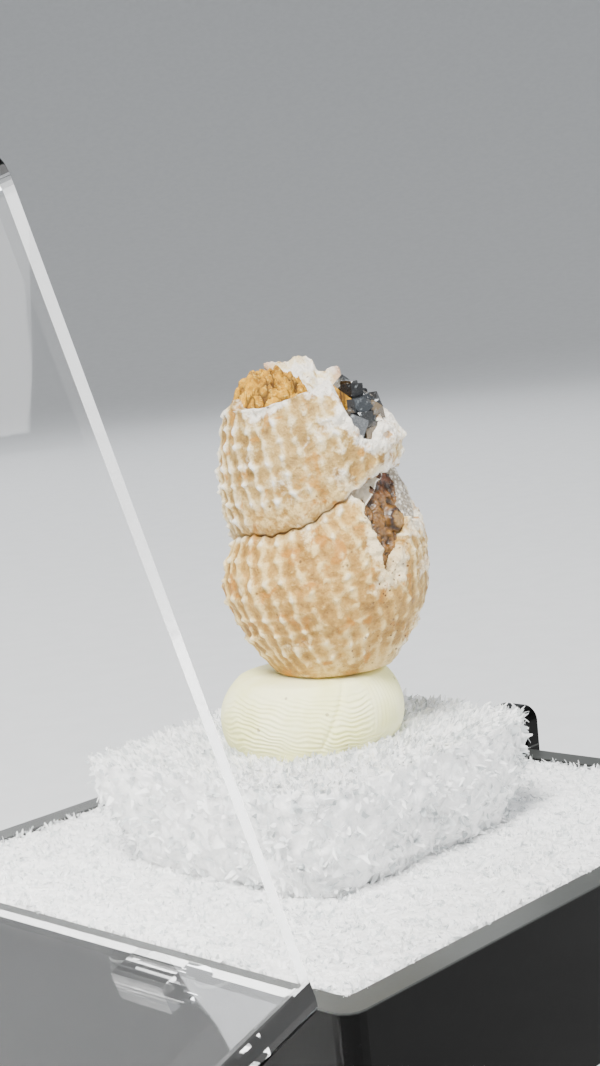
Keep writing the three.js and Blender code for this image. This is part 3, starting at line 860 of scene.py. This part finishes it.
def dark_crystals():
    """Blocky crystals grown together in the hole in the shoulder."""
    rng = np.random.default_rng(7)
    bm = bmesh.new()
    tone = bm.verts.layers.float.new("tone")
    smoky = bm.verts.layers.float.new("smoky")
    for _ in range(CRYSTALS):
        sideways = rng.uniform(1.55, 2.9)
        ceiling = np.interp(sideways, (1.5, 1.75, 2.2, 2.9), (12.9, 13.2, 12.95, 12.15))
        height = rng.uniform(10.7, ceiling)
        reach = min(3.75, shell_radius(np.array(40.0), np.array(height))) - 0.5
        front = math.sqrt(max(0.1, reach**2 - sideways**2))
        depth = front - rng.uniform(0, 0.5) if rng.uniform() < 0.65 else rng.uniform(-1.2, front)
        angle = math.degrees(math.atan2(sideways, depth))
        centre = on_shell(np.array(angle), np.array(math.hypot(sideways, depth)), np.array(height))
        size = rng.uniform(0.28, 0.6) * rng.uniform(0.55, 1.1, 3)
        turn = Matrix.Rotation(rng.normal(0.5, 0.45), 3, Vector(rng.normal(size=3)).normalized())
        shade = rng.uniform(0, 1) ** 3
        smoke = rng.uniform(0, 1) * (1.4 if height < 11.8 else 0.7)
        corners = [turn @ Vector(corner) + Vector(centre) for corner in crystal_block(rng, size)]
        hull = [bm.verts.new(corner * MM) for corner in corners]
        for vertex in hull:
            vertex[tone], vertex[smoky] = shade, smoke
        made = bmesh.ops.convex_hull(bm, input=hull)
        inner = [v for v in made["geom_interior"] if isinstance(v, bmesh.types.BMVert)]
        bmesh.ops.delete(bm, geom=inner)
    mesh = bpy.data.meshes.new("dark_crystals_detail")
    bm.to_mesh(mesh)
    bm.free()
    mesh.materials.append(dark_crystal_look())
    piece = bpy.data.objects.new("dark_crystals_detail", mesh)
    bpy.context.scene.collection.objects.link(piece)
    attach(piece, "base")
    stand_for("dark_crystals")


# Putty and foam


def putty():
    """A squashed lump with fingerprint ridges across its front."""
    columns, rows = 340, 200
    turn = np.linspace(0, 2 * np.pi, columns, endpoint=False)
    angle, share = np.meshgrid(turn, np.linspace(0, 1, rows))
    radius = (putty_high[0] - putty_low[0]) / 2
    sunk = 0.5
    tall = putty_high[2] - putty_low[2] + sunk + 0.05
    lift = 0.5 - 0.5 * np.cos(np.pi * share)
    body = np.sin(np.pi * (0.2 + 0.68 * lift)) ** 0.3
    inset = np.where(share < 0.5, 1, smoothstep(1.0, 0.84, share) ** 0.4)
    spread = radius * body * inset
    around = np.stack([np.cos(angle), np.sin(angle), 0 * angle], -1)
    centre = np.array([*(putty_low[:2] + putty_high[:2]) / 2, 0])
    points = centre + around * spread[..., None]
    points[..., 2] = putty_low[2] - sunk + tall * lift
    points[..., :2] += 0.25 * (lift - 0.5)[..., None] * IMAGE_RIGHT
    soft = soft_noise(points, 3.2, 91)
    sway = 0.34 * soft_noise(points, 1.8, 92) + 0.13 * soft_noise(points, 0.7, 93)
    facing = np.degrees(angle) - SHELL_FRONT
    arcs = 0.3 * np.sin(np.radians(2.4 * facing + 30)) + 0.004 * facing
    ridges = np.sin(2 * np.pi * (points[..., 2] + sway + arcs) / 0.21)
    printed = smoothstep(75, 45, np.abs(facing + 5))
    printed = printed * smoothstep(0.1, 0.25, lift) * smoothstep(0.92, 0.75, lift)
    upright = np.sin(2 * np.pi * (facing / 3.6 + 1.5 * sway))
    side = smoothstep(30, 42, facing) * smoothstep(85, 70, facing)
    side = side * smoothstep(0.2, 0.35, lift) * smoothstep(0.95, 0.8, lift)
    crease = np.exp(-(((facing - 8 - 26 * (lift - 0.4)) / 1.6) ** 2)) * smoothstep(0.1, 0.3, lift)
    push = 0.16 * soft + 0.042 * ridges * printed * (1 - side) * (0.9 + soft)
    push = push + 0.03 * upright * side - 0.12 * crease
    points = points + around * push[..., None]
    faces = grid_faces(rows, columns, closed=True)
    piece = make_piece("putty_lump", points, faces, putty_look())
    close(piece)
    stand_for("putty")


LINER_SCRAPS = 17000
BLOCK_TOP_SCRAPS = 6500
BLOCK_SIDE_SCRAPS = 2600


def foam_height(x, y):
    """The liner's top: level with the rim at its edges and a little dished in the middle."""
    edge = np.maximum(np.abs(x), np.abs(y)) / liner_high[0]
    return liner_high[2] - 0.27 * (1 - smoothstep(0.55, 0.98, edge))


def shards(name, places, normals, sizes, spread, material, seed):
    """Thin curled scraps of torn film, each a bent strip, standing on given places."""
    rng = np.random.default_rng(seed)
    count = len(places)
    along = normals / np.linalg.norm(normals, axis=1, keepdims=True)
    along = along + spread * rng.normal(size=(count, 3))
    along /= np.linalg.norm(along, axis=1, keepdims=True)
    across = np.cross(along, rng.normal(size=(count, 3)))
    across /= np.linalg.norm(across, axis=1, keepdims=True)
    bend = np.cross(along, across)
    length = sizes * rng.uniform(0.6, 1.4, count)
    width = sizes * rng.uniform(0.25, 0.75, count)
    rings = []
    for k, taper in enumerate((1.0, 0.85, 0.3)):
        step = k / 2
        middle = places + along * (length * (step - 0.25))[:, None]
        curl = length * 0.35 * step**2 * rng.uniform(-1, 1, count)
        middle = middle + bend * curl[:, None]
        half = across * (width * taper / 2)[:, None]
        rings.append(np.stack([middle - half, middle + half], 1))
    points = np.concatenate(rings, 1)
    quads = np.array([[0, 1, 3, 2], [2, 3, 5, 4]])
    faces = (np.arange(count)[:, None, None] * 6 + quads).reshape(-1, 4)
    tone = np.repeat(rng.uniform(0, 1, count), 6)
    return make_piece(name, points, faces, material, tone=tone)


def foam_liner():
    """A sheet of fine foam with a cut, slightly torn face."""
    cells = 250
    side = liner_high[0]
    x, y = np.meshgrid(np.linspace(-side, side, cells), np.linspace(-side, side, cells))
    edge = np.maximum(np.abs(x), np.abs(y))
    spot = np.stack([x, y, 0 * x], -1)
    lumps, _ = cell_distances(spot, 0.5, 101)
    height = foam_height(x, y) + 0.2 * (0.75 - lumps) + 0.12 * rough_noise(spot, 1.5, 3, 102)
    down = smoothstep(side - 0.25, side, edge)
    height = height - 0.7 * down
    points, faces = np.stack([x, y, height], -1), grid_faces(cells, cells)
    piece = make_piece("foam_liner_face", points, faces, foam_look("fine_foam", 0.3, 0.08))
    close(piece, liner_low[2] + 0.05)
    stand_for("foam_liner")
    rng = np.random.default_rng(5)
    spots = rng.uniform(-side - 0.15, side + 0.15, (LINER_SCRAPS, 2))
    places = np.column_stack([spots, foam_height(*spots.T) + 0.02])
    normals = np.tile([0.0, 0.0, 1.0], (len(places), 1))
    sizes = np.full(len(places), 0.3)
    scraps = shards("foam_liner_scraps", places, normals, sizes, 1.1, film_look(), 6)


def foam_block():
    """A torn block of coarse foam: five sheets of a rounded box, roughened, with a longer corner."""
    centre = (block_low + block_high) / 2
    top, foot = block_high[0] - centre[0] - 0.25, 6.7
    tall = block_high[2] - block_low[2]
    cells = 90
    ring = np.linspace(-1, 1, cells)
    faces_made, points_made, offset = [], [], 0
    u, v = np.meshgrid(ring, ring)
    ones = np.ones_like(u)
    sheets = [(u, v, ones), (u, -ones, v), (ones, u, v), (-u, ones, v), (-ones, -u, v)]
    for x, y, z in sheets:
        lift = (z + 1) / 2
        side = foot + (top - foot) * np.sin(lift * np.pi / 2) ** 0.8
        corner = np.maximum(np.abs(x), np.abs(y))
        norm = (np.abs(x) ** 9 + np.abs(y) ** 9) ** (1 / 9)
        fit = np.where(norm > 0, corner / np.maximum(norm, 1e-6), 1)
        level = block_low[2] + lift * (tall + SUNK) - SUNK
        points = np.stack([centre[0] + x * side * fit, centre[1] + y * side * fit, level], -1)
        points_made.append(points.reshape(-1, 3))
        faces_made.append(grid_faces(cells, cells) + offset)
        offset += cells * cells
    points = np.concatenate(points_made)
    outwards = points - centre
    outwards[:, 2] *= 1.5
    outwards /= np.linalg.norm(outwards, axis=1, keepdims=True)
    lumps, _ = cell_distances(points, 0.9, 111)
    push = 0.3 * (0.6 - lumps) + 0.3 * rough_noise(points, 2.5, 3, 112)
    points = points + outwards * push[:, None]
    tip = np.clip(-(points[:, :2] - centre[:2]) @ IMAGE_RIGHT / (1.38 * top), 0, 1) ** 6
    tip *= (points[:, 2] - block_low[2]) / tall
    points[:, :2] -= 0.75 * tip[:, None] * IMAGE_RIGHT
    points[:, 2] = np.maximum(points[:, 2], block_low[2] - SUNK)
    look = foam_look("coarse_foam", 0.5, 0.14)
    piece = make_piece("foam_block_body", points, np.concatenate(faces_made), look)
    close(piece)
    stand_for("foam_block")
    rng = np.random.default_rng(9)
    film = bpy.data.materials["torn_foam_film"]
    on_top = np.arange(len(points)) < cells * cells
    upper = rng.choice(np.flatnonzero(on_top), BLOCK_TOP_SCRAPS)
    sides = rng.choice(np.flatnonzero(~on_top), BLOCK_SIDE_SCRAPS)
    upright = outwards[upper] * [0.35, 0.35, 1]
    lying = outwards[sides] * 0.5 + rng.normal(0, 0.8, (len(sides), 3))
    normals = np.concatenate([upright, lying])
    places = points[np.concatenate([upper, sides])] + rng.normal(0, 0.05, normals.shape)
    sizes = np.concatenate([np.full(len(upper), 0.36), np.full(len(sides), 0.5)])
    scraps = shards("foam_block_scraps", places, normals, sizes, 0.35, film, 10)


# Box


def box():
    """The CAD's own base and lid, with softer edges and their plastics. The lid casts no shadow."""
    base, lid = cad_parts["box_base"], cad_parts["box_lid"]
    finishes = ((base, black_plastic_look(), 0.12), (lid, clear_plastic_look(), 0.1))
    for node, material, soften in finishes:
        node.data.materials.clear()
        node.data.materials.append(material)
        bevel = node.modifiers.new("soft_edges", "BEVEL")
        bevel.width = soften * MM
        bevel.segments = 2
        bevel.limit_method = "ANGLE"
        bevel.angle_limit = math.radians(40)
        bevel.harden_normals = True
        for face in node.data.polygons:
            face.use_smooth = True
    lid.visible_shadow = False


# Stage

# The camera: its lens, its direction and tilt in degrees, and its place in millimetres
CAMERA_LENS = 60.8
CAMERA_YAW = -45.7
CAMERA_PITCH = 7.7
CAMERA_ROLL = -5.6
CAMERA_DISTANCE = 86.9
CAMERA_ASIDE = 0.2
CAMERA_RAISED = 14.4

# The floor's reach, its height at the edge, and the radius of the curve between
STAGE_RADIUS = 1100
STAGE_WALL = 1000
STAGE_SWEEP = 650


def camera():
    """Looks at the middle of the box's rim from the photograph's side, a little from above."""
    yaw, pitch, roll = (math.radians(a) for a in (CAMERA_YAW, CAMERA_PITCH, CAMERA_ROLL))
    level = math.cos(pitch)
    back = Vector((math.sin(yaw) * level, -math.cos(yaw) * level, math.sin(pitch)))
    right = Vector((math.cos(yaw), math.sin(yaw), 0))
    up = back.cross(right)
    data = bpy.data.cameras.new("camera")
    data.lens = CAMERA_LENS
    data.clip_start, data.clip_end = 0.002, 10
    made = bpy.data.objects.new("camera", data)
    bpy.context.scene.collection.objects.link(made)
    target = Vector((0, 0, RIM_HEIGHT))
    place = target + back * CAMERA_DISTANCE + right * CAMERA_ASIDE + up * CAMERA_RAISED
    tilted_right = right * math.cos(roll) + up * math.sin(roll)
    tilted_up = up * math.cos(roll) - right * math.sin(roll)
    turn = Matrix((tilted_right, tilted_up, back)).transposed()
    made.matrix_world = Matrix.Translation(place * MM) @ turn.to_4x4()
    bpy.context.scene.camera = made


def lamp(name, place, size, power, colour=(1, 1, 1)):
    """A soft square lamp, aimed at the shell. Its place and size are in millimetres."""
    data = bpy.data.lights.new(name, "AREA")
    data.size = size * MM
    data.energy = power
    data.color = colour
    made = bpy.data.objects.new(name, data)
    bpy.context.scene.collection.objects.link(made)
    aim = Vector((*shell_axis, shell_foot + 4)) * MM
    made.location = Vector(place) * MM
    made.rotation_euler = (made.location - aim).to_track_quat("Z", "Y").to_euler()


def stage():
    """A pale floor that sweeps up all round, under a pale sky, with soft lamps."""
    steps, around = 40, 96
    turn = np.linspace(0, 2 * np.pi, around, endpoint=False)
    bend = np.linspace(0, np.pi / 2, steps - 2)
    radius = np.concatenate([[1], STAGE_RADIUS - STAGE_SWEEP * (1 - np.sin(bend)), [STAGE_RADIUS]])
    height = np.concatenate([[0], STAGE_SWEEP * (1 - np.cos(bend)), [STAGE_WALL]])
    x, y = radius[:, None] * np.cos(turn), radius[:, None] * np.sin(turn)
    points = np.stack([x, y, np.broadcast_to(height[:, None], x.shape)], -1)
    faces = grid_faces(steps, around, closed=True).tolist()
    mesh = bpy.data.meshes.new("floor")
    mesh.from_pydata((points.reshape(-1, 3) * MM).tolist(), [], faces + [list(range(around))])
    mesh.polygons.foreach_set("use_smooth", [True] * len(mesh.polygons))
    mesh.materials.append(floor_look())
    floor = bpy.data.objects.new("floor", mesh)
    bpy.context.scene.collection.objects.link(floor)
    world = bpy.data.worlds.new("soft_sky")
    bpy.context.scene.world = world
    world.use_nodes = True
    sky = world.node_tree.nodes["Background"].inputs
    sky["Color"].default_value = (0.93, 0.96, 1, 1)
    sky["Strength"].default_value = 0.48
    lamp("key", (-200, -110, 330), size=110, power=3.95, colour=(1, 0.98, 0.94))
    lamp("fill", (90, -330, 120), size=240, power=0.95)
    lamp("back", (200, 260, 260), size=200, power=0.8, colour=(0.95, 0.97, 1))


camera()
stage()
box()
foam_liner()
foam_block()
putty()
shell_wall()
flakes()
top_fill()
side_fill()
dark_crystals()
